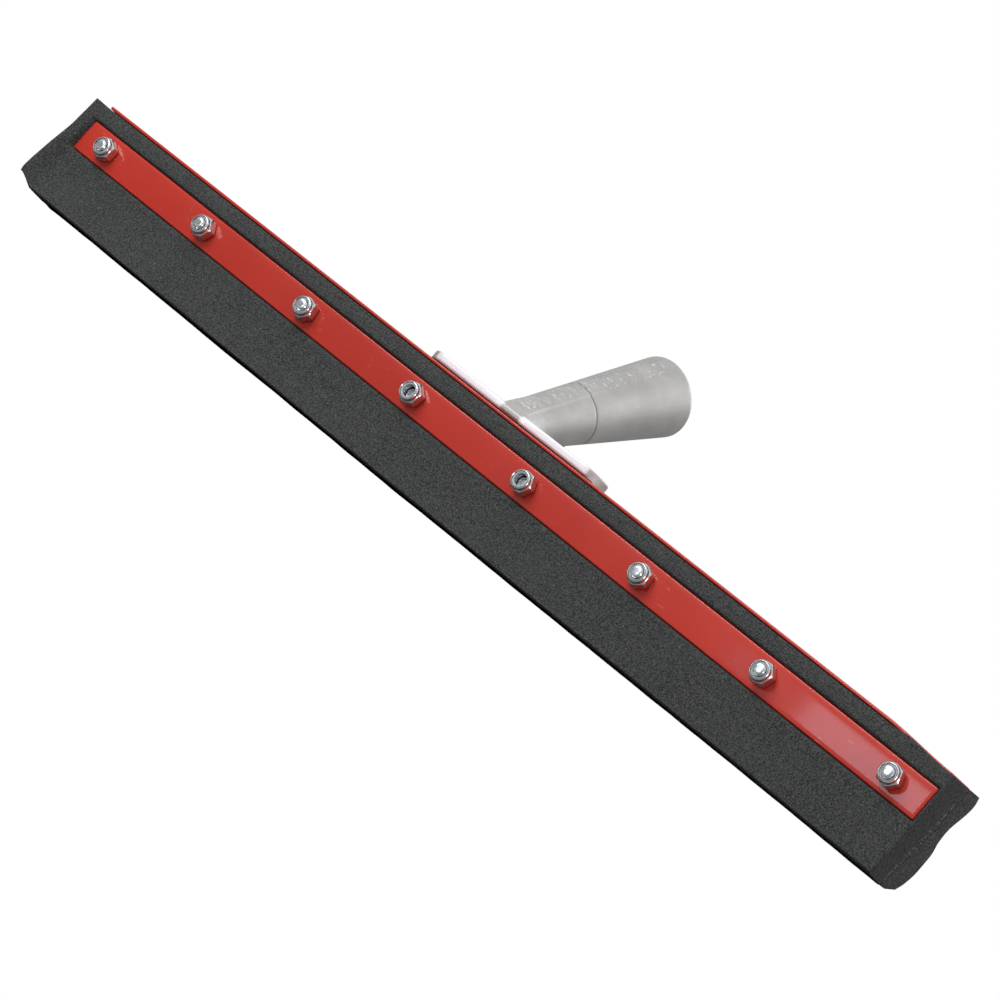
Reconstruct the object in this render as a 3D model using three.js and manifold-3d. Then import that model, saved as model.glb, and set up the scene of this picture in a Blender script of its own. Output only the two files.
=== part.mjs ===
// Head of a straight foam-bladed floor squeegee, without its handle. Millimetres, +Z up.
// X runs along the blade, +Y points back towards the handle, and the blade stands on Z = 0.
// While the parts are laid out, Y = 0 is the front face of the clamp strip. At the end the
// whole assembly is shifted in Y so that the origin lies on the front foam strip's foot.
import * as THREE from 'three';
import { mergeVertices } from 'three/addons/utils/BufferGeometryUtils.js';
import Module from 'manifold-3d';

// ---- Driving dimensions -------------------------------------------------------------------
const BLADE_LENGTH = 615;
const METAL_LENGTH = 600;
const BOLT_COUNT = 8;
const BOLT_PITCH = 80;
const BOLT_HEIGHT = 40.8;
const GAP = 0.3;

// Flat bar that clamps the blade from the front.
const STRIP_HEIGHT = 18;
const STRIP_THICK = 3;
const STRIP_CORNER = 1;

// The two foam strips, each with the thickness it has when the bolts are tight.
const FOAM_HEIGHT = 59.4;
const FOAM_CLAMPED = 11.5;
const LIP_SWEEP = 6.5;
const LEFT_SWEEP = 6;
const LIP_FOOT = 12.4;

// Folded sheet angle that caps the blade and backs it.
const SHEET = 1.6;
const LEG_HEIGHT = 30;
const FOLD_RADIUS = 3;
const FLANGE_FRONT = 2.2;

// Quarter-inch bolts and nylon-insert lock nuts.
const BOLT_RADIUS = 3.175;
const BOLT_LENGTH = 38.1;
const HOLE_RADIUS = 3.5;
const HEX_FLATS = 11.1;
const HEAD_HEIGHT = 4;
const NUT_HEX_HEIGHT = 5.4;
const NUT_HEIGHT = 7.9;
const COLLAR_RADIUS = 5.1;
const INSERT_DEPTH = 2;
const INSERT_OUTER = 4.35;
const INSERT_INNER = 3.4;

// Cast aluminium bracket: a base that hooks over the angle, and the tapered handle socket.
const BASE_LENGTH = 120;
const BASE_FRONT = 10.8;
const PAD_THICK = 5.8;
const WALL_THICK = 5.5;
const BASE_CORNER = 11.5;
const WALL_CORNER = 12;
const NOSE_REACH = 0.4;
const SOCKET_TILT = THREE.MathUtils.degToRad(37.3);
const MOUTH_BACK = 110;
const MOUTH_HEIGHT = 128.8;
const MOUTH_RADIUS = 20.8;
const MOUTH_ROUND = 2;
const ROOT_RADIUS = 12.6;
const TAPER = 0.08;
const SOCKET_LENGTH = 128;
const GROOVE_FROM_MOUTH = 66;
const GROOVE_WIDTH = 1.2;
const GROOVE_DEPTH = 0.5;
const RIDGE_WIDTH = 13;
const RIDGE_END_WIDTH = 8;
const RIDGE_RISE = 0.7;
const BORE_MOUTH_RADIUS = 16.2;
const BORE_END_RADIUS = 11.5;
const BORE_DEPTH = 78;
const RIB_THICK = 6;

// ---- Places worked out from them ------------------------------------------------------------
const foamFront = STRIP_THICK + GAP;
const seam = foamFront + FOAM_CLAMPED;
const rearFoam = seam + GAP;
const seamFoot = seam - LIP_SWEEP;
const legFront = rearFoam + FOAM_CLAMPED + GAP;
const legBack = legFront + SHEET;
const wallFront = legBack + GAP;
const wallBack = wallFront + WALL_THICK;
const stripTop = BOLT_HEIGHT + STRIP_HEIGHT / 2;
const stripBottom = BOLT_HEIGHT - STRIP_HEIGHT / 2;
const flangeBottom = FOAM_HEIGHT + GAP;
const flangeTop = flangeBottom + SHEET;
const legBottom = flangeTop - LEG_HEIGHT;
const padBottom = flangeTop + GAP;
const padTop = padBottom + PAD_THICK;
const boltPlaces = Array.from({ length: BOLT_COUNT }, (_, i) => (i - (BOLT_COUNT - 1) / 2) * BOLT_PITCH);

const wasm = await Module();
wasm.setup();

// ---- Solid helpers --------------------------------------------------------------------------
function solid(geometry) {
  geometry.deleteAttribute('normal');
  geometry.deleteAttribute('uv');
  const merged = mergeVertices(geometry, 1e-4);
  return new wasm.Manifold(new wasm.Mesh({
    numProp: 3,
    vertProperties: new Float32Array(merged.attributes.position.array),
    triVerts: new Uint32Array(merged.index.array),
  }));
}

function geometryOf(body) {
  const mesh = body.getMesh();
  const geometry = new THREE.BufferGeometry();
  geometry.setAttribute('position', new THREE.BufferAttribute(new Float32Array(mesh.vertProperties), 3));
  geometry.setIndex(new THREE.BufferAttribute(new Uint32Array(mesh.triVerts), 1));
  geometry.computeVertexNormals();
  return geometry;
}

// A section drawn in (Y, Z) and pushed along X, centred on X = 0.
function alongX(section, length, curveSegments = 6) {
  const geometry = new THREE.ExtrudeGeometry(section, { depth: length, bevelEnabled: false, curveSegments });
  const turn = new THREE.Matrix4().makeBasis(
    new THREE.Vector3(0, 1, 0), new THREE.Vector3(0, 0, 1), new THREE.Vector3(1, 0, 0));
  geometry.applyMatrix4(turn);
  geometry.translate(-length / 2, 0, 0);
  return solid(geometry);
}

// An outline drawn in (X, Z) and pushed back along Y from the given front.
function alongY(outline, front, depth, curveSegments = 6) {
  const geometry = new THREE.ExtrudeGeometry(outline, { depth, bevelEnabled: false, curveSegments });
  geometry.rotateX(Math.PI / 2);
  geometry.translate(0, front + depth, 0);
  return solid(geometry);
}

// An outline drawn in (X, Y) and pushed up along Z from the given bottom.
function alongZ(outline, bottom, height, curveSegments = 6) {
  const geometry = new THREE.ExtrudeGeometry(outline, { depth: height, bevelEnabled: false, curveSegments });
  geometry.translate(0, 0, bottom);
  return solid(geometry);
}

// A solid of revolution about Y, from points of [radius, distance along Y].
function turned(profile, segments = 24) {
  return solid(new THREE.LatheGeometry(profile.map(([r, y]) => new THREE.Vector2(r, y)), segments));
}

function box(x0, x1, y0, y1, z0, z1) {
  const geometry = new THREE.BoxGeometry(x1 - x0, y1 - y0, z1 - z0);
  geometry.translate((x0 + x1) / 2, (y0 + y1) / 2, (z0 + z1) / 2);
  return solid(geometry);
}

function roundedRectangle(x0, x1, y0, y1, r) {
  const shape = new THREE.Shape();
  shape.moveTo(x0 + r, y0);
  shape.lineTo(x1 - r, y0);
  shape.absarc(x1 - r, y0 + r, r, -Math.PI / 2, 0, false);
  shape.lineTo(x1, y1 - r);
  shape.absarc(x1 - r, y1 - r, r, 0, Math.PI / 2, false);
  shape.lineTo(x0 + r, y1);
  shape.absarc(x0 + r, y1 - r, r, Math.PI / 2, Math.PI, false);
  shape.lineTo(x0, y0 + r);
  shape.absarc(x0 + r, y0 + r, r, Math.PI, Math.PI * 1.5, false);
  return shape;
}

// Clearance holes for every bolt, through whatever lies between two Y places.
function drilled(body, front, back, places = boltPlaces) {
  let result = body;
  for (const x of places) {
    const drill = turned([[0, front - 1], [HOLE_RADIUS, front - 1], [HOLE_RADIUS, back + 1], [0, back + 1]], 14);
    result = result.subtract(drill.translate([x, 0, BOLT_HEIGHT]));
  }
  return result;
}

// ---- Assembly -------------------------------------------------------------------------------
const assembly = new THREE.Group();

const finishes = {
  redPaint: { color: 0xb5301f, roughness: 0.35, metalness: 0.0 },
  foam: { color: 0x333333, roughness: 0.95, metalness: 0.0 },
  zincPlate: { color: 0xc9cdd0, roughness: 0.25, metalness: 1.0 },
  nylon: { color: 0xd8dadb, roughness: 0.5, metalness: 0.0 },
  castAluminium: { color: 0xb5b3ae, roughness: 0.45, metalness: 1.0 },
};

function add(name, body, finish, reshape = null) {
  const geometry = geometryOf(body);
  if (reshape) {
    const place = geometry.attributes.position;
    for (let i = 0; i < place.count; i += 1) {
      place.setY(i, place.getY(i) + reshape(place.getX(i), place.getY(i), place.getZ(i)));
    }
    geometry.computeVertexNormals();
  }
  const mesh = new THREE.Mesh(geometry, new THREE.MeshStandardMaterial(finishes[finish]));
  mesh.name = name;
  assembly.add(mesh);
}

// ---- Clamp strip ----------------------------------------------------------------------------
const stripOutline = roundedRectangle(-METAL_LENGTH / 2, METAL_LENGTH / 2, stripBottom, stripTop, STRIP_CORNER);
add('clamp_strip', drilled(alongY(stripOutline, 0, STRIP_THICK, 3), 0, STRIP_THICK), 'redPaint');

// ---- Foam blade -----------------------------------------------------------------------------
// Both strips run straight down behind the clamp strip, and below it their lips sweep forward.
// Past the ends of the metal nothing pinches them, so there they swell to their free size.
const endTop = flangeTop - 0.1;
const endLength = (BLADE_LENGTH - METAL_LENGTH) / 2 - GAP;
const endMiddle = (BLADE_LENGTH - endLength) / 2;

function frontSection(pinched) {
  const section = new THREE.Shape();
  const top = pinched ? FOAM_HEIGHT : endTop;
  section.moveTo(seam, top);
  section.lineTo(1.6, top);
  if (pinched) {
    section.quadraticCurveTo(0.2, 54.5, 1.4, stripTop + GAP);
    section.lineTo(foamFront, stripTop + GAP);
    section.lineTo(foamFront, stripBottom - GAP);
  } else {
    section.quadraticCurveTo(0.2, 54.5, 0.6, stripTop + GAP);
  }
  section.lineTo(pinched ? 1.4 : 0.6, stripBottom - GAP);
  section.bezierCurveTo(-1.5, 24, -4.5, 15, seamFoot - LIP_FOOT - 1.2, 2);
  section.lineTo(seamFoot - LIP_FOOT, 0);
  section.lineTo(seamFoot, 0);
  section.bezierCurveTo(seamFoot + 4, 11, seam, 23, seam, stripBottom);
  return section;
}

const rearFoot = seamFoot + GAP;
const rearFace = legFront - GAP;

function rearSection(pinched) {
  const section = new THREE.Shape();
  const top = pinched ? FOAM_HEIGHT : endTop;
  const back = pinched ? rearFace : rearFace + 1.4;
  section.moveTo(back - 1.2, top);
  section.lineTo(rearFoam, top);
  section.lineTo(rearFoam, stripBottom);
  section.bezierCurveTo(rearFoam, 23, rearFoot + 4, 11, rearFoot, 0);
  section.lineTo(rearFoot + LIP_FOOT + 2, 0);
  section.bezierCurveTo(rearFoot + 18, 9, rearFace + 1.4, 21, rearFace + 1.4, legBottom - 3);
  section.lineTo(back, legBottom);
  section.lineTo(back, top - 1.2);
  return section;
}

function foamStrip(sectionOf) {
  let body = alongX(sectionOf(true), BLADE_LENGTH, 5);
  for (const side of [-1, 1]) {
    body = body.add(alongX(sectionOf(false), endLength, 5).translate([side * endMiddle, 0, 0]));
  }
  return body;
}

// The front lip stands further forward towards the left end.
function leftLean(x, y, z) {
  if (y > seamFoot - 2) {
    return 0;
  }
  const left = 0.5 - x / BLADE_LENGTH;
  const below = Math.max(stripBottom - z, 0) / stripBottom;
  return -LEFT_SWEEP * left * below ** 1.45;
}

add('foam_front', drilled(foamStrip(frontSection), 0, seam), 'foam', leftLean);
add('foam_rear', drilled(foamStrip(rearSection), rearFoot, rearFace + 2), 'foam');

// ---- Frame angle ----------------------------------------------------------------------------
const angleSection = new THREE.Shape();
angleSection.moveTo(FLANGE_FRONT, flangeBottom);
angleSection.lineTo(legBack - FOLD_RADIUS, flangeBottom);
angleSection.absarc(legBack - FOLD_RADIUS, flangeTop - FOLD_RADIUS, FOLD_RADIUS - SHEET, Math.PI / 2, 0, true);
angleSection.lineTo(legFront, legBottom);
angleSection.lineTo(legBack, legBottom);
angleSection.lineTo(legBack, flangeTop - FOLD_RADIUS);
angleSection.absarc(legBack - FOLD_RADIUS, flangeTop - FOLD_RADIUS, FOLD_RADIUS, 0, Math.PI / 2, false);
angleSection.lineTo(FLANGE_FRONT, flangeTop);
add('frame_angle', drilled(alongX(angleSection, METAL_LENGTH, 5), legFront, legBack), 'redPaint');

// ---- Socket bracket -------------------------------------------------------------------------
// The base is an L that lies on the flange and hangs down behind the leg. The two middle bolts
// hold it. The socket's outer cone runs right down into the base and ends in a short nose.
const halfBase = BASE_LENGTH / 2;
const baseOutline = roundedRectangle(-halfBase, halfBase, BASE_FRONT, wallBack, BASE_CORNER);
const wallOutline = roundedRectangle(-halfBase, halfBase, legBottom, padTop + WALL_CORNER + 1, WALL_CORNER);
const base = alongZ(baseOutline, legBottom, padTop - legBottom, 6)
  .intersect(alongY(wallOutline, 0, wallBack + 1, 6));

// The cone's radius at a distance down the axis from the mouth.
const coneRadius = (down) => Math.max(MOUTH_RADIUS - TAPER * down, ROOT_RADIUS);
const straightFrom = (MOUTH_RADIUS - ROOT_RADIUS) / TAPER;

function coneBody(extra) {
  return turned([
    [0, -SOCKET_LENGTH],
    [ROOT_RADIUS + extra, -SOCKET_LENGTH],
    [ROOT_RADIUS + extra, -straightFrom],
    [coneRadius(MOUTH_ROUND) + extra, -MOUTH_ROUND],
    [MOUTH_RADIUS - MOUTH_ROUND * 0.3, -MOUTH_ROUND * 0.3],
    [MOUTH_RADIUS - MOUTH_ROUND * 0.8, 0],
    [0, 0],
  ], 48);
}

const grooveRadius = coneRadius(GROOVE_FROM_MOUTH);
const groove = turned([
  [grooveRadius + 3, -GROOVE_FROM_MOUTH - GROOVE_WIDTH / 2],
  [grooveRadius + 3, -GROOVE_FROM_MOUTH + GROOVE_WIDTH / 2],
  [grooveRadius - GROOVE_DEPTH, -GROOVE_FROM_MOUTH],
  [grooveRadius + 3, -GROOVE_FROM_MOUTH - GROOVE_WIDTH / 2],
], 48);

// A flat-sided ridge along the top of the socket, where the two halves of the mould met.
const ridgePlan = new THREE.Shape();
ridgePlan.moveTo(-RIDGE_WIDTH / 2, -SOCKET_LENGTH + 8);
ridgePlan.lineTo(RIDGE_WIDTH / 2, -SOCKET_LENGTH + 8);
ridgePlan.lineTo(RIDGE_END_WIDTH / 2, -6);
ridgePlan.lineTo(-RIDGE_END_WIDTH / 2, -6);
const ridge = alongZ(ridgePlan, 0, MOUTH_RADIUS + 3).intersect(coneBody(RIDGE_RISE));
const outerCone = coneBody(0).add(ridge).subtract(groove);
const bore = turned([
  [0, -BORE_DEPTH],
  [BORE_END_RADIUS, -BORE_DEPTH],
  [BORE_MOUTH_RADIUS, 1],
  [0, 1],
], 32);
const tiltDegrees = THREE.MathUtils.radToDeg(SOCKET_TILT);
const placed = (body) => body.rotate([tiltDegrees, 0, 0]).translate([0, MOUTH_BACK, MOUTH_HEIGHT]);

// Stiffening rib under the socket, down to the foot of the wall.
const ribSection = new THREE.Shape();
ribSection.moveTo(wallFront + 1, legBottom + 5);
ribSection.lineTo(wallBack, legBottom + 5);
ribSection.quadraticCurveTo(52, 58.3, 78, 86.3);
ribSection.lineTo(78, 94.3);
ribSection.lineTo(wallFront + 1, 62.3);
const rib = alongX(ribSection, RIB_THICK, 8);

const angleRoom = box(-halfBase - 5, halfBase + 5, -60, wallFront, 0, padBottom);
const frontRoom = box(-40, 40, -60, BASE_FRONT - NOSE_REACH, 0, 200);
const middleBolts = boltPlaces.filter((x) => Math.abs(x) < halfBase);
const bracket = base.add(placed(outerCone)).add(rib)
  .subtract(angleRoom)
  .subtract(frontRoom)
  .subtract(placed(bore));
add('socket_bracket', drilled(bracket, wallFront, wallBack, middleBolts), 'castAluminium');

// ---- Bolts, lock nuts and their nylon inserts -------------------------------------------------
function hexPrism(front, back) {
  const geometry = new THREE.CylinderGeometry(HEX_FLATS / Math.sqrt(3), HEX_FLATS / Math.sqrt(3), back - front, 6);
  geometry.translate(0, (front + back) / 2, 0);
  return solid(geometry);
}

const nutTop = -GAP - NUT_HEIGHT;
const chamferRadius = HEX_FLATS / 2 + 0.15;
const nutEnvelope = turned([
  [0, nutTop],
  [COLLAR_RADIUS - 0.5, nutTop],
  [COLLAR_RADIUS, nutTop + 0.5],
  [COLLAR_RADIUS, -GAP - NUT_HEX_HEIGHT - 0.4],
  [chamferRadius, -GAP - NUT_HEX_HEIGHT],
  [chamferRadius + 0.9, -GAP - NUT_HEX_HEIGHT + 0.7],
  [chamferRadius + 0.9, -GAP - 0.5],
  [chamferRadius + 0.2, -GAP],
  [0, -GAP],
], 20);
const nutBore = turned([
  [0, nutTop - 1],
  [INSERT_OUTER + 0.2, nutTop - 1],
  [INSERT_OUTER + 0.2, nutTop + INSERT_DEPTH + 0.5],
  [BOLT_RADIUS + GAP, nutTop + INSERT_DEPTH + 0.5],
  [BOLT_RADIUS + GAP, 1],
  [0, 1],
], 16);
const nut = hexPrism(nutTop - 1, -GAP).intersect(nutEnvelope).subtract(nutBore);
const insert = turned([
  [INSERT_INNER, nutTop + 0.3],
  [INSERT_OUTER, nutTop + 0.3],
  [INSERT_OUTER, nutTop + 0.3 + INSERT_DEPTH],
  [INSERT_INNER, nutTop + 0.3 + INSERT_DEPTH],
  [INSERT_INNER, nutTop + 0.3],
], 16);

function bolt(seat) {
  const tip = seat - BOLT_LENGTH;
  const shank = turned([
    [0, tip], [BOLT_RADIUS - 0.6, tip], [BOLT_RADIUS, tip + 0.6], [BOLT_RADIUS, seat + 1], [0, seat + 1],
  ], 16);
  return shank.add(hexPrism(seat, seat + HEAD_HEIGHT));
}

boltPlaces.forEach((x, i) => {
  const seat = Math.abs(x) < halfBase ? wallBack + GAP : legBack + GAP;
  const turnDegrees = (i * 23) % 60;
  const spot = (body) => body.rotate([0, turnDegrees, 0]).translate([x, 0, BOLT_HEIGHT]);
  add(`bolt_${i + 1}`, spot(bolt(seat)), 'zincPlate');
  add(`lock_nut_${i + 1}`, spot(nut), 'zincPlate');
  add(`nut_insert_${i + 1}`, spot(insert), 'nylon');
});

// The origin goes to the middle of the front foam strip's flat foot.
assembly.position.y = LIP_FOOT / 2 - seamFoot;

export default assembly;
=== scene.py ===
import math
import bmesh
import bpy
from mathutils import Matrix, Vector, noise


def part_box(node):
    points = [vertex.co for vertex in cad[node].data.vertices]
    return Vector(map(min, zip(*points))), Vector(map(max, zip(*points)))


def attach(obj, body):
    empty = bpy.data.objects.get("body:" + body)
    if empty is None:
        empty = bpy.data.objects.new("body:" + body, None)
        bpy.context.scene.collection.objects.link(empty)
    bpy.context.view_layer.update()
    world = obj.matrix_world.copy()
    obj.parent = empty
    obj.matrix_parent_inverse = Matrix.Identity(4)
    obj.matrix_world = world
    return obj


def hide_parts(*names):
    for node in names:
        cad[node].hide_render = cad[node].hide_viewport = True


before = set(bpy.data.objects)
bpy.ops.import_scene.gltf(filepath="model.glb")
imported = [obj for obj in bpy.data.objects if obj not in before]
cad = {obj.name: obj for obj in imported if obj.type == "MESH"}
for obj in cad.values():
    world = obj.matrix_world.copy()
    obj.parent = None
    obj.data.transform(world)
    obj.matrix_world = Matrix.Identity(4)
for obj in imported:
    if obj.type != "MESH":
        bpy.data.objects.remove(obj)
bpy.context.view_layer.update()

# ---- Clamp strip --------------------------------------------------------------------------
# A flat bar of hot-rolled steel, sheared to length, drilled and dipped in red enamel.
# It lies along the front of the foam blade and the eight lock nuts pull it tight, so the
# bar bows a hair's breadth between them.

strip_low, strip_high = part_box("clamp_strip")
nut_places = []
for number in range(1, 9):
    low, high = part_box(f"lock_nut_{number}")
    nut_places.append(((low + high) / 2, high.y))
bolt_line = nut_places[0][0].z
strip_front = strip_low.y
strip_back = strip_high.y


class Value:
    """A number or colour that changes over a surface. Sums of values become Math nodes."""

    def __init__(self, nodes, socket):
        self.nodes = nodes
        self.socket = socket

    def _with(self, operation, first, second):
        made = self.nodes.node("ShaderNodeMath", {"operation": operation}, {0: first, 1: second})
        return made["Value"]

    def __add__(self, other):
        return self._with("ADD", self, other)

    __radd__ = __add__

    def __sub__(self, other):
        return self._with("SUBTRACT", self, other)

    def __rsub__(self, other):
        return self._with("SUBTRACT", other, self)

    def __mul__(self, other):
        return self._with("MULTIPLY", self, other)

    __rmul__ = __mul__

    def below(self, edge, softness):
        """1 well under the edge and 0 well over it."""
        return 1.0 - self.above(edge, softness)

    def above(self, edge, softness):
        """0 well under the edge and 1 well over it."""
        settings = {"interpolation_type": "SMOOTHSTEP"}
        sockets = {"Value": self, "From Min": edge - softness, "From Max": edge + softness}
        return self.nodes.node("ShaderNodeMapRange", settings, sockets)["Result"]


class Nodes:
    """The nodes of one material, or of the sky."""

    def __init__(self, tree):
        self.tree = tree
        self.tree.nodes.clear()

    def plug(self, socket, value):
        if isinstance(value, Value):
            self.tree.links.new(value.socket, socket)
        elif isinstance(value, (tuple, list)) and socket.type == "RGBA" and len(value) == 3:
            socket.default_value = (*value, 1.0)
        else:
            socket.default_value = value

    def node(self, kind, settings, sockets):
        """Makes a node and gives its outputs by name. Settings come before sockets."""
        made = self.tree.nodes.new(kind)
        for key, value in settings.items():
            if key == "stops":
                ramp = made.color_ramp
                while len(ramp.elements) < len(value):
                    ramp.elements.new(0.5)
                for element, (place, colour) in zip(ramp.elements, value):
                    element.position = place
                    element.color = (*colour, 1.0)
            else:
                setattr(made, key, value)
        for key, value in sockets.items():
            self.plug(made.inputs[key], value)
        return {out.name: Value(self, out) for out in made.outputs if out.enabled}


class Finish(Nodes):
    """One material: its nodes, its colours and its surface."""

    def __init__(self, name):
        self.material = bpy.data.materials.new(name)
        self.material.use_nodes = True
        super().__init__(self.material.node_tree)
        self.surface = self.tree.nodes.new("ShaderNodeBsdfPrincipled")
        self.output = self.tree.nodes.new("ShaderNodeOutputMaterial")
        self.tree.links.new(self.surface.outputs["BSDF"], self.output.inputs["Surface"])

    def place(self):
        return self.node("ShaderNodeTexCoord", {}, {})["Object"]

    def stretched(self, scale):
        """Object coordinates, stretched by a factor along each axis."""
        sockets = {"Vector": self.place(), "Scale": scale}
        return self.node("ShaderNodeMapping", {"vector_type": "POINT"}, sockets)["Vector"]

    def grain(self, scale, detail=3.0, roughness=0.5, vector=None):
        """Noise with cells about 1 / scale metres across, from 0 to 1."""
        sockets = {
            "Vector": vector or self.place(),
            "Scale": scale,
            "Detail": detail,
            "Roughness": roughness,
        }
        made = self.node("ShaderNodeTexNoise", {"noise_dimensions": "3D"}, sockets)
        return made["Fac"] if "Fac" in made else made["Factor"]

    def cells(self, scale):
        """Distance to the nearest of many scattered points."""
        sockets = {"Vector": self.place(), "Scale": scale}
        return self.node("ShaderNodeTexVoronoi", {"feature": "F1"}, sockets)["Distance"]

    def axis(self):
        return self.node("ShaderNodeSeparateXYZ", {}, {"Vector": self.place()})

    def blend(self, share, first, second):
        """A colour between two colours."""
        made = self.tree.nodes.new("ShaderNodeMix")
        made.data_type = "RGBA"
        self.plug(made.inputs[0], share)
        self.plug(made.inputs[6], first)
        self.plug(made.inputs[7], second)
        return Value(self, made.outputs[2])

    def raised(self, height, distance, strength=1.0, normal=None):
        sockets = {"Height": height, "Distance": distance, "Strength": strength}
        if normal:
            sockets["Normal"] = normal
        return self.node("ShaderNodeBump", {}, sockets)["Normal"]

    def set(self, **sockets):
        for key, value in sockets.items():
            self.plug(self.surface.inputs[key.replace("_", " ")], value)
        return self


def red_enamel():
    """Thin gloss enamel: slightly orange-peeled, dull where it has been rubbed."""
    paint = Finish("red enamel")
    deep = (0.420, 0.0165, 0.0050)
    bright = (0.500, 0.0215, 0.0070)
    rubbed = (0.640, 0.1800, 0.1500)
    drift = paint.grain(9.0, 2.0, 0.5)
    colour = paint.blend(drift.above(0.5, 0.22), deep, bright)
    streak = paint.grain(1.0, 4.0, 0.65, paint.stretched((160.0, 160.0, 900.0)))
    patch = paint.grain(26.0, 2.0, 0.6)
    scuff = streak.above(0.66, 0.035) * patch.above(0.57, 0.05)
    colour = paint.blend(scuff * 0.55, colour, rubbed)
    peel = paint.grain(420.0, 2.0, 0.4)
    sag = paint.grain(38.0, 1.0, 0.4)
    normal = paint.raised(peel, 0.00006, 0.55)
    normal = paint.raised(sag, 0.0009, 0.35, normal)
    paint.set(
        Base_Color=colour,
        Roughness=scuff * 0.3 + drift * 0.10 + 0.38,
        Normal=normal,
        Specular_IOR_Level=0.25,
        Coat_Weight=0.55,
        Coat_Roughness=0.07,
    )
    return paint.material


def mesh_piece(name, verts, faces, material, smooth_angle=35.0):
    """A new closed mesh with its faces turned outward and its hard edges kept hard."""
    mesh = bpy.data.meshes.new(name)
    mesh.from_pydata(verts, [], faces)
    made = bmesh.new()
    made.from_mesh(mesh)
    bmesh.ops.recalc_face_normals(made, faces=made.faces)
    made.to_mesh(mesh)
    made.free()
    mesh.shade_smooth()
    mesh.set_sharp_from_angle(angle=math.radians(smooth_angle))
    mesh.materials.append(material)
    piece = bpy.data.objects.new(name, mesh)
    bpy.context.scene.collection.objects.link(piece)
    return piece


def inset_loop(loop, amount):
    """A closed loop of (y, z) points, drawn in by the amount."""
    if not amount:
        return loop
    turn = sum(a[0] * b[1] - b[0] * a[1] for a, b in zip(loop, loop[1:] + loop[:1]))
    side = 1.0 if turn > 0 else -1.0
    moved = []
    for before, here, after in zip(loop[-1:] + loop[:-1], loop, loop[1:] + loop[:1]):
        dy, dz = after[0] - before[0], after[1] - before[1]
        length = math.hypot(dy, dz) or 1.0
        moved.append((here[0] - side * dz / length * amount, here[1] + side * dy / length * amount))
    return moved


def lofted(name, stations, section, material, smooth_angle=35.0, cut=None):
    """Joins one section after another along X. Each station is (x, how far its loop is drawn in).
    cut, if given, moves the points of a section along X, as a slanting cut does."""
    verts, faces = [], []
    for x, amount in stations:
        loop = inset_loop(section(x), amount)
        verts += [(cut(x, y) if cut else x, y, z) for y, z in loop]
    count = len(verts) // len(stations)
    for row in range(len(stations) - 1):
        for i in range(count):
            j = (i + 1) % count
            a, b = row * count, (row + 1) * count
            faces.append((a + i, a + j, b + j, b + i))
    faces.append(tuple(range(count)))
    faces.append(tuple(range(len(verts) - count, len(verts))))
    return mesh_piece(name, verts, faces, material, smooth_angle)


def stations_between(low, high, step, edge, close=0.0):
    """Evenly spaced places along X, with a small round edge at both ends.
    Within the distance called close of each end they stand three times as close together."""
    rim = [(0.0, 1.0), (0.13, 0.5), (0.5, 0.13), (1.0, 0.0)]
    inner, x = [], low + edge
    while True:
        near = min(x - low, high - x) < close
        x += step / 3 if near else step
        if x > high - edge - step / 6:
            break
        inner.append(x)
    left = [(low + edge * a, edge * b) for a, b in rim]
    right = [(high - edge * a, edge * b) for a, b in reversed(rim)]
    return left + [(x, 0.0) for x in inner] + right


def rounded_corner(centre, radius, start, end, steps=4):
    """Points of (y, z) on an arc, angles in degrees."""
    points = []
    for i in range(steps + 1):
        a = math.radians(start + (end - start) * i / steps)
        points.append((centre[0] + radius * math.cos(a), centre[1] + radius * math.sin(a)))
    return points


def strip_bow(x):
    """How far the bar springs forward between two nuts."""
    nearest = min(abs(x - place.x) for place, _ in nut_places)
    return 0.00022 * math.sin(min(nearest / 0.04, 1.0) * math.pi / 2) ** 2


def strip_section(x):
    edge = 0.0007
    cup = 0.00012
    y0 = strip_front + 0.00024 + cup - strip_bow(x)
    y1 = strip_back - strip_bow(x)
    z0, z1 = strip_low.z, strip_high.z
    return (
        rounded_corner((y0 + edge, z0 + edge), edge, 180, 270)
        + rounded_corner((y1 - edge, z0 + edge), edge, 270, 360)
        + rounded_corner((y1 - edge, z1 - edge), edge, 0, 90)
        + rounded_corner((y0 + edge, z1 - edge), edge, 90, 180)
        + [(y0 - cup * (1 - place * place), bolt_line + place * (z1 - bolt_line - edge))
           for place in (0.75, 0.5, 0.25, 0.0, -0.25, -0.5, -0.75)]
    )


paint = red_enamel()
strip = lofted(
    "front_strip",
    stations_between(strip_low.x, strip_high.x, 0.005, 0.0007),
    strip_section,
    paint,
)
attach(strip, "root")
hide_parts("clamp_strip")

# ---- Frame angle ----------------------------------------------------------------------------
# Thin sheet steel folded once along its length. Its top flange caps the foam and its rear leg
# backs it, and it has the same red enamel as the bar. The fold leaves a round outer corner.

angle_low, angle_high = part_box("frame_angle")
sheet = 0.0016
fold = 0.003


def smooth_step(t):
    t = min(max(t, 0.0), 1.0)
    return t * t * (3 - 2 * t)


def between(share, first, second):
    return first + (second - first) * share


def droop(x, y):
    """How far the front corner of the flange is bent down at the right end."""
    back = min(max((y - angle_low.y) / 0.024, 0.0), 1.0)
    return 0.0022 * smooth_step((x - 0.258) / 0.042) * (1.0 - 0.75 * back)


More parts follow.
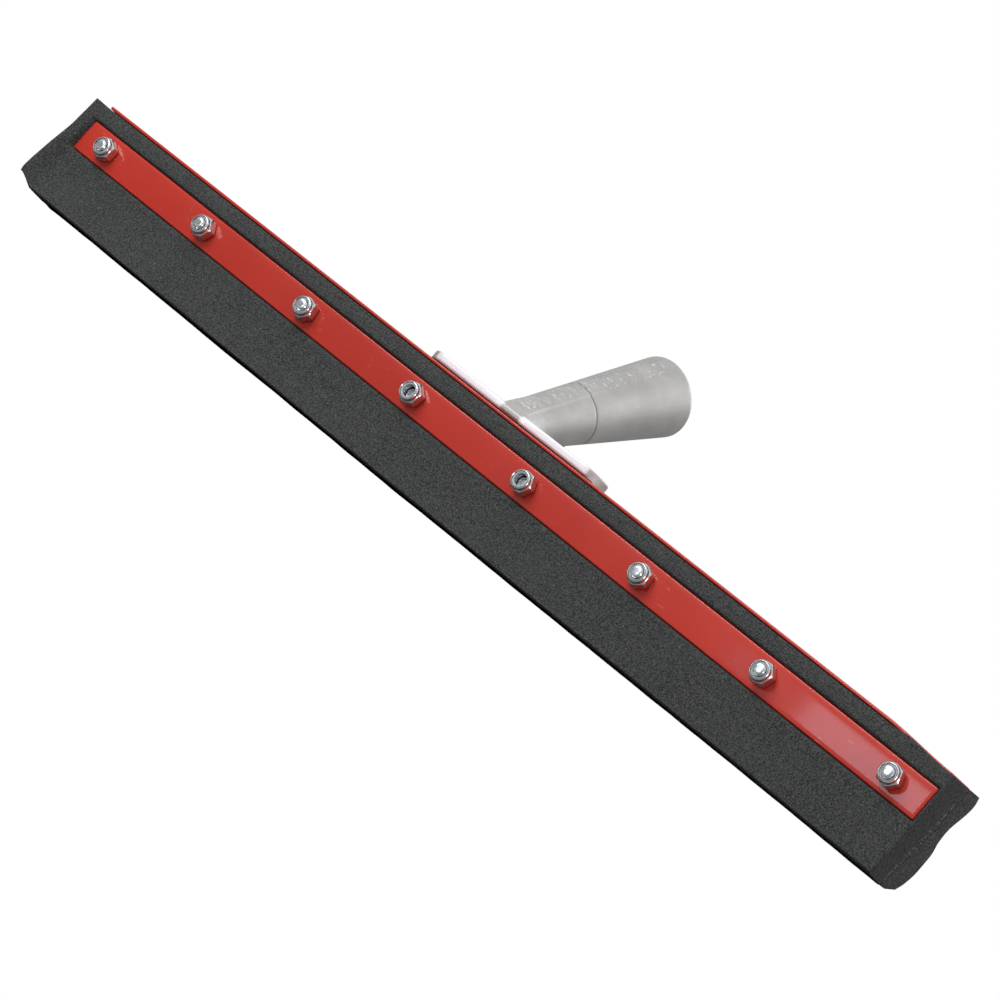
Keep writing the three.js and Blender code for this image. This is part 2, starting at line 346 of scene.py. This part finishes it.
def angle_section(x):
    ripple = 0.00012 * math.sin(x * 61.0) * math.sin(x * 17.0 + 1.0)
    y0, y1 = angle_low.y + abs(ripple), angle_high.y
    z0, z1 = angle_low.z, angle_high.z
    inner, outer = fold - sheet, fold
    corner = (y1 - fold, z1 - fold)
    lip = sheet * 0.32
    loop = (
        rounded_corner((y0 + lip, z1 - sheet + lip), lip, 180, 270, 3)
        + [(between(share, y0, y1 - fold), z1 - sheet) for share in (0.25, 0.5, 0.75)]
        + rounded_corner(corner, inner, 90, 0, 5)
        + rounded_corner((y1 - sheet + lip, z0 + lip), lip, 180, 270, 3)
        + rounded_corner((y1 - lip, z0 + lip), lip, 270, 360, 3)
        + rounded_corner(corner, outer, 0, 90, 7)
        + [(between(share, y0, y1 - fold), z1) for share in (0.75, 0.5, 0.25)]
        + rounded_corner((y0 + lip, z1 - lip), lip, 90, 180, 3)
    )
    return [(y, z - droop(x, y) * smooth_step((z - strip_high.z) / 0.006)) for y, z in loop]


angle = lofted(
    "folded_angle",
    stations_between(angle_low.x, angle_high.x, 0.006, 0.0004),
    angle_section,
    paint,
)
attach(angle, "root")
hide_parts("frame_angle")

# ---- Foam blade -----------------------------------------------------------------------------
# Two strips of charcoal closed-cell foam rubber, cut from sheet, so every face shows opened
# cells. They are pinched hard between bar and angle and swell above and below the bar. Their
# lips lean forward, most at the left end, and the right end is cut off at a slant.

front_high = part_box("foam_front")[1]
foam_top = angle_high.z - sheet - 0.0004
seam_top = front_high.y
half_blade = front_high.x
half_metal = strip_high.x

# The slanting cut: how far past the metal it is at the front of the bar, and its slope.
CUT_START = 0.0023
CUT_SLOPE = 0.17


def foam_rubber(name, end_shade_tone, crumbs):
    """Foam with opened cells. The tone sets painted shade on the slanting end face, whose colour is
    darkened where it turns away from the light, and crumbs of pale dust lie along the seam there."""
    foam = Finish(name)
    dark = (0.0140, 0.0150, 0.0145)
    body = (0.0680, 0.0690, 0.0660)
    pale = (0.1700, 0.1680, 0.1620)
    fine = foam.grain(1300.0, 2.0, 0.8)
    pores = foam.cells(1100.0)
    broad = foam.grain(42.0, 2.0, 0.5)
    colour = foam.blend(fine.above(0.5, 0.11), dark, body)
    colour = foam.blend(broad.above(0.5, 0.3) * 0.16, colour, (0.062, 0.062, 0.060))
    fleck = foam.grain(900.0, 1.0, 0.5).above(0.70, 0.03)
    colour = foam.blend(fleck * 0.35, colour, pale)
    place = foam.axis()
    cut = place["X"] - place["Y"] * CUT_SLOPE
    edge = half_metal + CUT_START - strip_front * CUT_SLOPE
    # Painted shade: the tone darkens the colour of the slanting end face, for the shade it stands
    # in.
    end = cut.above(edge - 0.0008, 0.0003)
    colour = foam.blend(end * (1.0 - end_shade_tone), colour, (0.016, 0.016, 0.014))
    if crumbs:
        seam = place["Y"] - place["Z"] * 0.09
        near = seam.above(strip_front + 0.0086, 0.0006)
        dust = foam.grain(900.0, 1.0, 0.5).above(0.58, 0.05)
        colour = foam.blend(end * near * dust * 0.6, colour, (0.20, 0.18, 0.17))
    normal = foam.raised(fine * 0.7 + pores * 0.8, 0.00045, 0.7)
    normal = foam.raised(foam.grain(160.0, 2.0, 0.5), 0.0009, 0.3, normal)
    foam.set(Base_Color=colour, Roughness=0.93, Normal=normal, Specular_IOR_Level=0.3)
    return foam.material


def along(points, z):
    """The y of a line through (z, y) points at a height, eased from one point to the next."""
    if z <= points[0][0]:
        return points[0][1]
    for (z0, y0), (z1, y1) in zip(points, points[1:]):
        if z <= z1:
            return between((z - z0) / (z1 - z0), y0, y1)
    return points[-1][1]


def cut_waver(x, seed, size):
    """Slow unevenness left by the knife."""
    slow = noise.noise(Vector((x * 21.0, seed, 0.3)))
    return size * (slow + 0.5 * noise.noise(Vector((x * 75.0, seed, 2.1))))


# Heights and places of the free front of the left end and the free back of the right end,
# where no metal pinches the foam. Places are measured back from the front of the bar.
left_face = [(0.0065, -0.0106), (0.0125, -0.0100), (0.026, -0.0074), (0.0395, -0.0040),
             (0.0535, -0.0027), (0.0595, -0.0023)]
right_back = [(0.0, 0.0165), (0.0020, 0.0200), (0.007, 0.0238), (0.0135, 0.0261),
              (0.021, 0.0264), (0.0285, 0.0260), (0.0325, 0.0240), (0.0415, 0.0236),
              (0.0485, 0.0260), (0.053, 0.0271), (0.0605, 0.0270)]

LEAN_RIGHT = 0.0026
LEAN_MORE = 0.0060
STRIP_THICK = 0.0136


def left_share(x):
    """1 at the left end of the blade and 0 at the right end."""
    return 0.5 - x / (2 * half_blade)


def left_corner(x):
    """0 along the blade, rising to 1 over the last centimetre of the left end."""
    return smooth_step((-x - 0.2965) / 0.0105)


def past_metal(x):
    """0 where bar and angle hold the foam, and 1 just beyond their ends."""
    return smooth_step((abs(x) - half_metal - 0.0004) / 0.0014)


def shallow_cut(x):
    """Height of the soles: the knife ran a little shallow towards the right end."""
    return 0.0002 + 0.0012 * smooth_step((x + 0.06) / 0.30)


def seam_at(x, z):
    """The face where the two strips meet. They only bend below the bar."""
    below = max(strip_low.z - z, 0.0) / strip_low.z
    return seam_top - (0.0050 + 0.0030 * left_share(x)) * below ** 1.45


def slanting_cut(x, y):
    """The right end is cut so that its front corner is shorter than its back corner."""
    if x < half_metal:
        return x
    depth = min(max(y - strip_front, -0.004), 0.0275)
    share = (x - half_metal) / (half_blade - half_metal)
    return half_metal + share * (CUT_START + CUT_SLOPE * depth)


def end_top(x):
    """The top of the foam. Past the right end of the flange it stands up to the flange's level."""
    return between(smooth_step((x - half_metal) / 0.0012), foam_top - 0.0001, angle_high.z - 0.0004)


def settled(x, loop):
    """Lowers the top of a foam section with the bent corner of the flange."""
    rise = foam_top - strip_high.z
    return [(y, z - droop(x, y) * max(z - strip_high.z, 0.0) / rise) for y, z in loop]


def eased(points, steps):
    """A smooth line through (y, z) points."""
    line = []
    for k in range(len(points) - 1):
        p0 = points[max(k - 1, 0)]
        p1, p2 = points[k], points[k + 1]
        p3 = points[min(k + 2, len(points) - 1)]
        for s in range(steps):
            t = s / steps
            line.append(tuple(
                0.5 * (2 * b + (c - a) * t + (2 * a - 5 * b + 4 * c - d) * t * t
                       + (3 * b - a - 3 * c + d) * t ** 3)
                for a, b, c, d in zip(p0, p1, p2, p3)
            ))
    line.append(points[-1])
    return line


def front_foam_section(x):
    loose = past_metal(x)
    left_end = left_corner(x)
    curl = smooth_step((x - 0.262) / 0.014)
    swell = strip_front - 0.0004 + cut_waver(x, 1.0, 0.0004)
    pinch = between(loose, strip_back + 0.00025, strip_front - 0.0003)
    lip = strip_front - LEAN_RIGHT - LEAN_MORE * left_share(x) + cut_waver(x, 9.0, 0.0005)
    foot = 0.0009 + shallow_cut(x) + 0.0062 * left_end + cut_waver(x, 7.0, 0.0003)
    top = end_top(x)
    crest = between(curl, top, angle_high.z - 0.0002)
    behind = strip_front + 0.0019
    nose = strip_front + 0.0008 - 0.0008 * curl + cut_waver(x, 4.0, 0.0004)
    z_top, z_bottom = strip_high.z, strip_low.z

    def face(y, z):
        """Eases a point of the front face towards the swollen face of the left end."""
        return (between(left_end, y, strip_front + along(left_face, z)), z)

    def sweep(z):
        return face(between(((z_bottom - z) / z_bottom) ** 1.7, swell - 0.0002, lip), z)

    head = [
        (strip_front + 0.0060, top),
        (behind + 0.0006, top),
        (behind, between(curl, top, crest - 0.0006)),
        face(between(0.4, behind, nose), crest - 0.0001 * curl),
        face(between(0.85, behind, nose), crest - 0.0003),
    ]
    front = eased([
        face(nose, crest - 0.0011),
        face(between(0.6, nose, swell), foam_top - 0.0036),
        face(swell, z_top + 0.0022),
        face(between(loose, swell + 0.0006, swell), z_top + 0.0008),
        face(pinch, z_top - 0.0006),
        face(pinch, z_top - 0.0030),
        face(pinch, bolt_line),
        face(pinch, z_bottom + 0.0030),
        face(pinch, z_bottom + 0.0006),
        face(between(loose, swell + 0.0006, swell), z_bottom - 0.0008),
        sweep(z_bottom - 0.0022),
        sweep(0.026),
        sweep(0.020),
        sweep(0.014),
        sweep(foot + 0.0022),
        sweep(foot),
    ], 4)
    heel = seam_at(x, 0.001)
    ground = shallow_cut(x) + 0.0030 * left_end
    toe = front[-1][0]
    sole = [
        (toe + 0.0006, between(0.35, ground, foot)),
        (toe + 0.0014, between(0.10 + 0.5 * left_end, ground, foot)),
        (between(0.5, toe, heel), between(0.3 * left_end, ground, foot)),
        (heel - 0.0006, ground),
    ]
    heights = (ground + 0.0006, 0.006, 0.011, 0.017, 0.024,
               z_bottom, bolt_line, z_top, foam_top - 0.001)
    back = eased([(seam_at(x, z) - 0.0001, z) for z in heights], 3)
    return settled(x, head + front + sole + back + [(seam_at(x, foam_top) - 0.0006, top)])


def rear_foam_section(x):
    right = smooth_step((x - half_metal + 0.002) / 0.005)
    left_end = left_corner(x)
    loose = past_metal(x)
    top = end_top(x)
    pinch = angle_high.y - sheet - 0.00025
    leg_foot = angle_low.z
    foot = shallow_cut(x) + 0.0004 + cut_waver(x, 12.0, 0.0003) + 0.0030 * left_end
    heel = seam_at(x, 0.0) + STRIP_THICK + 0.0002 + cut_waver(x, 15.0, 0.0005)

    def back_at(y, z):
        slack = between(loose, y, max(y, pinch + 0.0010))
        return (between(right, slack, strip_front + along(right_back, z)), z)

    heights = (foam_top - 0.001, strip_high.z, bolt_line, strip_low.z,
               0.026, 0.019, 0.012, foot + 0.0012)
    front = eased([(seam_at(x, z) + 0.0001, z) for z in heights], 3)
    sole = eased([
        (seam_at(x, 0.001) + 0.0006, foot),
        (seam_at(x, 0.001) + 0.0050, foot),
        (between(right, heel - 0.0030, strip_front + 0.0155), foot),
        back_at(heel, foot + 0.0028),
    ], 3)
    back = eased([
        back_at(seam_at(x, 0.0085) + STRIP_THICK + 0.0010, 0.0085),
        back_at(seam_at(x, 0.015) + STRIP_THICK + 0.0008, 0.015),
        back_at(seam_at(x, 0.0225) + STRIP_THICK + 0.0004, 0.0225),
        back_at(pinch + 0.0014, leg_foot - 0.0040),
        back_at(pinch + 0.0006, leg_foot - 0.0006),
        back_at(pinch, leg_foot + 0.0022),
        back_at(pinch, bolt_line),
        back_at(pinch, 0.050),
        back_at(pinch, foam_top - 0.0030),
        (back_at(pinch, top)[0] - 0.0015, top),
    ], 3)
    return settled(x, [(seam_at(x, foam_top) + 0.0008, top)] + front + sole + back)


blade_stations = stations_between(-half_blade, half_blade, 0.0024, 0.0003, 0.034)
front_rubber = foam_rubber("front foam rubber", 0.62, True)
rear_rubber = foam_rubber("rear foam rubber", 1.0, False)
for name, section, node, foam_finish in (
    ("foam_strip_front", front_foam_section, "foam_front", front_rubber),
    ("foam_strip_rear", rear_foam_section, "foam_rear", rear_rubber),
):
    strip_of_foam = lofted(name, blade_stations, section, foam_finish, 42.0, slanting_cut)
    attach(strip_of_foam, "root")
    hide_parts(node)

# ---- Bolts ----------------------------------------------------------------------------------
# Zinc-plated quarter-inch hexagon bolts, cold headed with rolled threads. They go in from
# behind, and the two middle ones also hold the casting, so less of them shows in front.

FLATS = 0.0111
THREAD = 0.003175
PITCH = 0.00127
THREAD_DEPTH = 0.00042
HEAD_HEIGHT = 0.004


def bright_zinc():
    zinc = Finish("bright zinc plate")
    cloud = zinc.grain(480.0, 3.0, 0.6)
    colour = zinc.blend(cloud, (0.58, 0.61, 0.63), (0.86, 0.88, 0.89))
    normal = zinc.raised(zinc.grain(900.0, 2.0, 0.5), 0.00005, 0.5)
    zinc.set(Base_Color=colour, Metallic=1.0, Roughness=cloud * 0.16 + 0.14, Normal=normal)
    return zinc.material


def hexagon(angle):
    """Distance from the axis to a flat of the hexagon, in a direction."""
    sector = math.pi / 3
    return FLATS / 2 / math.cos((angle % sector) - sector / 2)


def spun(name, rings, material, segments, closed_ring=False, smooth_angle=32.0):
    """Rings round the Y axis. Each ring is (y, radius), and the radius may depend on the angle."""
    verts, faces = [], []
    for y, radius in rings:
        for i in range(segments):
            angle = 2 * math.pi * i / segments
            r = radius(angle) if callable(radius) else radius
            verts.append((r * math.cos(angle), y, r * math.sin(angle)))
    joins = len(rings) if closed_ring else len(rings) - 1
    for row in range(joins):
        a, b = row * segments, ((row + 1) % len(rings)) * segments
        for i in range(segments):
            j = (i + 1) % segments
            faces.append((a + i, a + j, b + j, b + i))
    if not closed_ring:
        faces.append(tuple(range(segments)))
        faces.append(tuple(range(len(verts) - segments, len(verts))))
    return mesh_piece(name, verts, faces, material, smooth_angle)


def threaded(y):
    """Radius of a rolled thread at a place along the bolt."""
    def radius(angle):
        turn = (y / PITCH + angle / (2 * math.pi)) % 1.0
        return THREAD - THREAD_DEPTH * (1 - abs(2 * turn - 1))
    return radius


def bolt_rings(tip, seat, back):
    """From the tip, along the thread, to the back of the head."""
    rings = [(tip, 0.0012), (tip + 0.00005, THREAD - 0.0009), (tip + 0.0002, THREAD - 0.0006)]
    count = 44
    for i in range(count):
        y = tip + 0.0006 + i * PITCH / 4
        rings.append((y, threaded(y)))
    return rings + [
        (tip + 0.0006 + count * PITCH / 4, THREAD),
        (seat - 0.0002, THREAD),
        (seat, THREAD + 0.0002),
        (seat, FLATS / 2 - 0.0003),
        (seat + 0.0002, FLATS / 2 - 0.0002),
        (seat + 0.00025, hexagon),
        (back - 0.0010, hexagon),
        (back - 0.0006, lambda a: min(hexagon(a), FLATS / 2 + 0.0004)),
        (back - 0.0002, FLATS / 2 - 0.0001),
        (back, FLATS / 2 - 0.0008),
    ]


zinc = bright_zinc()
for number, (place, _) in enumerate(nut_places, start=1):
    low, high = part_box(f"bolt_{number}")
    seat = high.y - HEAD_HEIGHT
    bolt = spun(f"hex_bolt_{number}", bolt_rings(low.y, seat, high.y), zinc, 48)
    turn = math.radians(17.0 * number)
    bolt.matrix_world = Matrix.Translation((place.x, 0, bolt_line)) @ Matrix.Rotation(turn, 4, "Y")
    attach(bolt, "root")
    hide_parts(f"bolt_{number}")

# ---- Lock nuts and their nylon rings --------------------------------------------------------
# Zinc-plated hexagon nuts with a round collar. The collar is rolled in over a ring of milky
# nylon, and the ring grips the thread so the nuts can't shake loose.

COLLAR = 0.0051
RING_OUT = 0.00435
RING_IN = 0.00335


def nut_rings(top, seat):
    """From the seat on the bar to the rim of the collar, and back down the bore."""
    def within(limit):
        return lambda angle: min(hexagon(angle), limit)
    return [
        (seat, within(FLATS / 2 - 0.0001)),
        (seat - 0.0003, within(FLATS / 2 + 0.0004)),
        (seat - 0.0006, hexagon),
        (seat - 0.0044, hexagon),
        (seat - 0.0048, within(FLATS / 2 + 0.0005)),
        (seat - 0.0053, within(FLATS / 2 + 0.0001)),
        (seat - 0.0056, COLLAR + 0.00015),
        (seat - 0.0060, COLLAR),
        (top + 0.0008, COLLAR),
        (top + 0.0004, COLLAR - 0.0001),
        (top + 0.0001, COLLAR - 0.00035),
        (top, COLLAR - 0.0006),
        (top + 0.0001, RING_OUT + 0.00005),
        (top + 0.0004, RING_OUT - 0.0001),
        (top + 0.0006, RING_OUT + 0.0002),
        (top + 0.0026, RING_OUT + 0.0002),
        (top + 0.0028, THREAD + 0.0002),
        (seat, THREAD + 0.0002),
    ]


def milky_nylon():
    nylon = Finish("milky nylon")
    cloud = nylon.grain(300.0, 2.0, 0.5)
    colour = nylon.blend(cloud, (0.40, 0.41, 0.42), (0.58, 0.59, 0.60))
    normal = nylon.raised(nylon.grain(700.0, 2.0, 0.5), 0.00004, 0.4)
    nylon.set(Base_Color=colour, Roughness=0.42, Normal=normal)
    return nylon.material


nylon = milky_nylon()
for number, (place, seat) in enumerate(nut_places, start=1):
    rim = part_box(f"lock_nut_{number}")[0].y
    turn = math.radians(7.0 + 23.0 * number)
    stand = Matrix.Translation((place.x, 0, bolt_line)) @ Matrix.Rotation(turn, 4, "Y")
    nut = spun(f"nut_{number}", nut_rings(rim, seat), zinc, 72, closed_ring=True)
    nut.matrix_world = stand
    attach(nut, "root")
    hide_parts(f"lock_nut_{number}")
    ring_low, ring_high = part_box(f"nut_insert_{number}")
    ring = spun(f"nylon_ring_{number}", [
        (ring_high.y, RING_IN),
        (ring_high.y, RING_OUT),
        (ring_low.y + 0.0007, RING_OUT),
        (ring_low.y + 0.0005, RING_OUT - 0.0003),
        (ring_low.y + 0.0002, RING_OUT - 0.0005),
        (ring_low.y + 0.0002, RING_IN + 0.0003),
        (ring_low.y + 0.0005, RING_IN),
    ], nylon, 48, closed_ring=True)
    ring.matrix_world = stand
    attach(ring, "root")
    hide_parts(f"nut_insert_{number}")

# ---- Socket bracket -------------------------------------------------------------------------
# One aluminium sand casting: a saddle over the angle and a tapered socket for the handle.
# Its inner corners are filleted by the mould, its skin is grainy, and a coarse, pitted band
# along the top of the socket marks where the two halves of the mould met.

bracket_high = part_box("socket_bracket")[1]
TILT = math.radians(37.3)
axis_back = Vector((0.0, math.cos(TILT), math.sin(TILT)))
axis_up = Vector((0.0, -math.sin(TILT), math.cos(TILT)))
MOUTH_RADIUS = 0.0208
mouth = Vector((
    0.0,
    bracket_high.y - MOUTH_RADIUS * math.sin(TILT),
    bracket_high.z - MOUTH_RADIUS * math.cos(TILT),
))
PAD_FRONT = strip_front + 0.0108
PAD_BOTTOM = angle_high.z + 0.0003
PAD_TOP = angle_high.z + 0.0058
PAD_CHAMFER = 0.0022
GROOVE = 0.066
GROOVE_DEPTH = 0.0004
BORE_RADIUS = 0.0134
BORE_DEPTH = 0.08
RIDGE_HALF_ANGLE = 0.37
RIDGE_HEIGHT = 0.00060


def cast_aluminium():
    """Tumbled casting, nearly matt. Its colour holds a painted highlight along the front edge of
    the pad, a painted shadow under that edge, and painted shade in the scribed groove.
    """
    metal = Finish("cast aluminium")
    grain = metal.grain(900.0, 4.0, 0.65)
    blotch = metal.grain(70.0, 3.0, 0.55)
    stain = metal.grain(24.0, 3.0, 0.6)
    colour = metal.blend(blotch.above(0.5, 0.25), (0.400, 0.388, 0.374), (0.470, 0.457, 0.441))
    colour = metal.blend(stain.above(0.62, 0.08) * 0.25, colour, (0.40, 0.39, 0.38))
    place = metal.axis()
    from_mouth = mouth.dot(axis_back) - place["Y"] * axis_back.y - place["Z"] * axis_back.z
    # Painted shade: a dark line along the groove stands in for the shade that falls in it.
    line = from_mouth.above(GROOVE - 0.0005, 0.0002) * from_mouth.below(GROOVE + 0.0005, 0.0002)
    colour = metal.blend(line * 0.55, colour, (0.10, 0.095, 0.09))
    # Painted highlight: the pad's front edge is made near-white and less metallic, for the bright
    # reflection of the light on it, except in the middle.
    front = place["Y"].below(PAD_FRONT + 0.0012, 0.0004) * place["Z"].above(PAD_BOTTOM, 0.0004)
    front = front * place["Z"].below(PAD_TOP + 0.0002, 0.0003)
    middle = place["X"].above(-0.0060, 0.0012) * place["X"].below(0.0070, 0.0012)
    pad_edge_painted_highlight = front * (1.0 - middle)
    colour = metal.blend(pad_edge_painted_highlight, colour, (0.78, 0.79, 0.82))
    # Painted shadow: a nearly black, less metallic band under the pad's front edge stands in for
    # the shadow gap between pad and flange.
    under = place["Y"].below(PAD_FRONT + 0.0045, 0.0004)
    under = under * place["Z"].below(PAD_BOTTOM + 0.0014, 0.0003)
    colour = metal.blend(under * 0.92, colour, (0.015, 0.013, 0.013))
    pits = metal.cells(520.0).above(0.16, 0.10)
    normal = metal.raised(grain * 0.8 + pits * 0.35, 0.00022, 0.6)
    normal = metal.raised(blotch, 0.0012, 0.25, normal)
    metal.set(
        Base_Color=colour,
        Metallic=0.6 - pad_edge_painted_highlight * 0.45 - under * 0.55,
        Roughness=grain * 0.14 + 0.46,
        Normal=normal,
    )
    return metal.material


def casting():
    """The casting's shape in a fresh mesh, its corners softened as a mould leaves them."""
    source = cad["socket_bracket"]
    mesh = source.data.copy()
    mesh.materials.clear()
    piece = bpy.data.objects.new("socket_casting", mesh)
    bpy.context.scene.collection.objects.link(piece)
    remesh = piece.modifiers.new("fine skin", "REMESH")
    remesh.mode = "VOXEL"
    remesh.voxel_size = 0.00065
    remesh.use_smooth_shade = True
    soften = piece.modifiers.new("mould fillets", "SMOOTH")
    soften.factor = 0.5
    soften.iterations = 3
    bpy.context.view_layer.update()
    shown = piece.evaluated_get(bpy.context.evaluated_depsgraph_get())
    made = bpy.data.meshes.new_from_object(shown)
    piece.modifiers.clear()
    piece.data = made
    made.name = "socket_casting"
    for vertex in made.vertices:
        at = vertex.co - mouth
        down, up, side = -at.dot(axis_back), at.dot(axis_up), at.x
        beyond = math.hypot(up, side)
        # The lower front corner of the pad is cut back.
        chamfer = PAD_FRONT + PAD_CHAMFER
        if vertex.co.y < chamfer and vertex.co.z < PAD_BOTTOM + 0.0020:
            low = smooth_step((PAD_BOTTOM + 0.0020 - vertex.co.z) / 0.0010)
            vertex.co.y += low * max(chamfer - vertex.co.y, 0.0)
        # The neck slopes back from the front edge of the pad.
        rise = vertex.co.z - PAD_TOP + 0.0010
        if rise > 0.0 and vertex.co.y < PAD_FRONT + 0.015 and abs(side) <= 0.018:
            slope = PAD_FRONT - 0.0002 + 0.9 * rise
            vertex.co.y += max(slope - vertex.co.y, 0.0)
        # The ridge and the groove are on the outside of the socket only.
        if down < 0.002 or down > 0.112 or beyond < BORE_RADIUS and down < BORE_DEPTH:
            continue
        around = abs(math.atan2(side, up))
        out = (axis_up * up + Vector((side, 0, 0))).normalized()
        band = smooth_step((RIDGE_HALF_ANGLE - around) / 0.10)
        band *= smooth_step((down - 0.006) / 0.006)
        if band:
            rough = noise.noise(vertex.co * 260.0) + 0.8 * noise.noise(vertex.co * 700.0)
            vertex.co += out * band * (rough - 0.5) * RIDGE_HEIGHT
        elif down < 0.09:
            vertex.co -= out * GROOVE_DEPTH * math.exp(-((down - GROOVE) / 0.0006) ** 2)
    made.shade_smooth()
    return piece


bracket = casting()
bracket.data.materials.append(cast_aluminium())
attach(bracket, "root")
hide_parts("socket_bracket")

# ---- Floor, light and camera ----------------------------------------------------------------
# The head stands on a plain pale floor. The camera is just under the floor's level, so the
# floor is clear from below and shows only from above.


def pale_floor():
    """Matt floor, clear from underneath."""
    matt = Finish("pale floor")
    matt.set(Base_Color=(0.25, 0.25, 0.25), Roughness=0.75)
    underneath = matt.node("ShaderNodeNewGeometry", {}, {})["Backfacing"]
    clear = matt.node("ShaderNodeBsdfTransparent", {}, {})["BSDF"]
    solid = Value(matt, matt.surface.outputs["BSDF"])
    both = matt.node("ShaderNodeMixShader", {}, {0: underneath, 1: solid, 2: clear})["Shader"]
    matt.plug(matt.output.inputs["Surface"], both)
    return matt.material


ground = bpy.data.meshes.new("floor")
SPREAD = 4.0
corners = [(-SPREAD, -SPREAD, 0), (SPREAD, -SPREAD, 0), (SPREAD, SPREAD, 0), (-SPREAD, SPREAD, 0)]
ground.from_pydata(corners, [], [(0, 1, 2, 3)])
ground.materials.append(pale_floor())
floor = bpy.data.objects.new("floor", ground)
bpy.context.scene.collection.objects.link(floor)

world = bpy.data.worlds.new("studio")
bpy.context.scene.world = world
world.use_nodes = True
sky = Nodes(world.node_tree)
direction = sky.node("ShaderNodeTexCoord", {}, {})["Generated"]
height = sky.node("ShaderNodeSeparateXYZ", {}, {"Vector": direction})["Z"]
dusk_to_noon = [(0.48, (0.20, 0.20, 0.205)), (0.80, (0.70, 0.72, 0.74))]
shade = sky.node("ShaderNodeValToRGB", {"stops": dusk_to_noon}, {0: height * 0.5 + 0.5})["Color"]
lighting = sky.node("ShaderNodeBackground", {}, {"Color": shade, "Strength": 1.0})["Background"]
white = {"Color": (1.0, 1.0, 1.0), "Strength": 1.0}
backdrop = sky.node("ShaderNodeBackground", {}, white)["Background"]
seen = sky.node("ShaderNodeLightPath", {}, {})["Is Camera Ray"]
both = sky.node("ShaderNodeMixShader", {}, {0: seen, 1: lighting, 2: backdrop})["Shader"]
sky.node("ShaderNodeOutputWorld", {}, {"Surface": both})


LOW_LAMP = 10.0
unlit = bpy.data.collections.new("left out by low lamps")
unlit.objects.link(floor)
unlit.collection_objects[0].light_linking.link_state = "EXCLUDE"


def soft_light(name, azimuth, elevation, distance, size, power, tint=(1.0, 1.0, 1.0)):
    """A soft box aimed at the bar. Azimuth 0 is in front of the bar, and positive goes round
    to the right. Low lamps leave the floor out, because they would glare on it."""
    aim = Vector((0.0, 0.02, 0.05))
    lamp = bpy.data.lights.new(name, "AREA")
    lamp.color = tint
    lamp.shape = "RECTANGLE"
    lamp.size, lamp.size_y = size
    lamp.energy = power
    light = bpy.data.objects.new(name, lamp)
    bpy.context.scene.collection.objects.link(light)
    a, e = math.radians(azimuth), math.radians(elevation)
    away = Vector((math.sin(a) * math.cos(e), -math.cos(a) * math.cos(e), math.sin(e)))
    light.location = aim + away * distance
    light.rotation_euler = away.to_track_quat("Z", "Y").to_euler()
    if elevation < LOW_LAMP:
        light.light_linking.receiver_collection = unlit


soft_light("key", -24.0, 34.0, 1.8, (1.2, 0.9), 22.0)
soft_light("gloss", -12.5, 2.5, 1.9, (0.50, 0.30), 2.6, (0.66, 0.86, 1.0))
soft_light("fill", 74.0, 5.0, 1.6, (0.9, 0.5), 7.0)
soft_light("rear", 150.0, 45.0, 1.8, (1.2, 1.0), 13.0)

# The camera looks at the bar from 31 degrees to the right and a little below, rolled so the
# blade runs from upper left to lower right.
THETA, PHI, ROLL = math.radians(31.0), math.radians(-4.0), 0.71929
DISTANCE, SHIFT_RIGHT, SHIFT_UP = 1.8186, 0.01463, -0.02843
bar_middle = Vector((0.0, strip_front, bolt_line))
towards = Vector((math.sin(THETA) * math.cos(PHI), -math.cos(THETA) * math.cos(PHI), math.sin(PHI)))
level = Vector((math.cos(THETA), math.sin(THETA), 0.0))
upright = towards.cross(level)
right = level * math.cos(ROLL) + upright * math.sin(ROLL)
upward = upright * math.cos(ROLL) - level * math.sin(ROLL)
lens = bpy.data.cameras.new("camera")
lens.sensor_width = 36.0
lens.lens = 137.2
lens.clip_end = 50.0
camera = bpy.data.objects.new("camera", lens)
bpy.context.scene.collection.objects.link(camera)
spot = bar_middle + towards * DISTANCE + right * SHIFT_RIGHT + upward * SHIFT_UP
turned = Matrix((right, upward, towards)).transposed().to_4x4()
camera.matrix_world = Matrix.Translation(spot) @ turned
bpy.context.scene.camera = camera
bpy.context.scene.view_settings.view_transform = "Standard"
